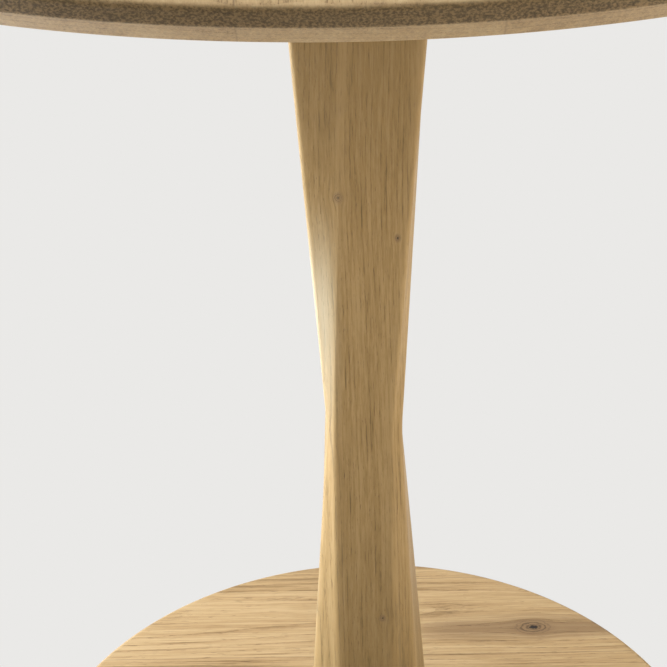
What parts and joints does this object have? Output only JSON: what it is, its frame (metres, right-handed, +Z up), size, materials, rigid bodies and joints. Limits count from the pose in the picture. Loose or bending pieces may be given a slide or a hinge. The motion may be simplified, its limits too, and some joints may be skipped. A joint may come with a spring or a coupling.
{
  "type": "tilt top table",
  "caption": "Round pedestal table in oak with a twisted, waisted column and a round base; the top tilts up on a pivot rod and locks with a hand bolt.",
  "frame": {"origin": "on the floor under the middle of the column", "axes": "+Z up; the pivot rod runs along Y; the hand bolt is on the -X side and the top tilts up to stand on the +X side"},
  "size_m": [0.8, 0.8, 0.76],
  "materials": {
    "oak_top": "oiled oak, satin",
    "oak_column": "oiled oak, satin",
    "oak_base": "oiled oak, satin",
    "oak_underframe": "plain oak, satin",
    "zinc_steel": "zinc plated",
    "black_steel": "matt powder coat",
    "brass": "satin brass",
    "bronze": "sintered bronze",
    "glide_plastic": "matt"
  },
  "bodies": {
    "pedestal": {"base_disc": "oak_base", "weight_plate": "black_steel", "weight_plate_screws": "zinc_steel", "column_screws": "zinc_steel", "floor_glides": "glide_plastic", "glide_nails": "zinc_steel", "column": "oak_column", "head_plate": "black_steel", "head_plate_screws": "zinc_steel", "block_screws": "zinc_steel", "head_block": "oak_underframe", "pivot_bushes": "bronze", "keeper_plate": "brass", "keeper_screws": "brass"},
    "tilting_top": {"tabletop": "oak_top", "front_bearer": "oak_underframe", "rear_bearer": "oak_underframe", "front_bearer_screws": "zinc_steel", "rear_bearer_screws": "zinc_steel", "pivot_rod": "zinc_steel", "spacer_washers": "brass", "pivot_washers": "brass", "dome_nuts": "brass", "bolt_case": "brass", "bolt_case_screws": "brass"},
    "hand_bolt": {"sliding_bolt": "brass", "bolt_knob": "brass"}
  },
  "joints": [
    {"name": "top_tilt", "type": "hinge", "parent": "pedestal", "child": "tilting_top", "pos_m": [0.06, 0, 0.724], "axis": [0, 1, 0], "range_deg": [0, 90]},
    {"name": "bolt_slide", "type": "slide", "parent": "tilting_top", "child": "hand_bolt", "axis": [1, 0, 0], "range_m": [0, 0.009]}
  ]
}
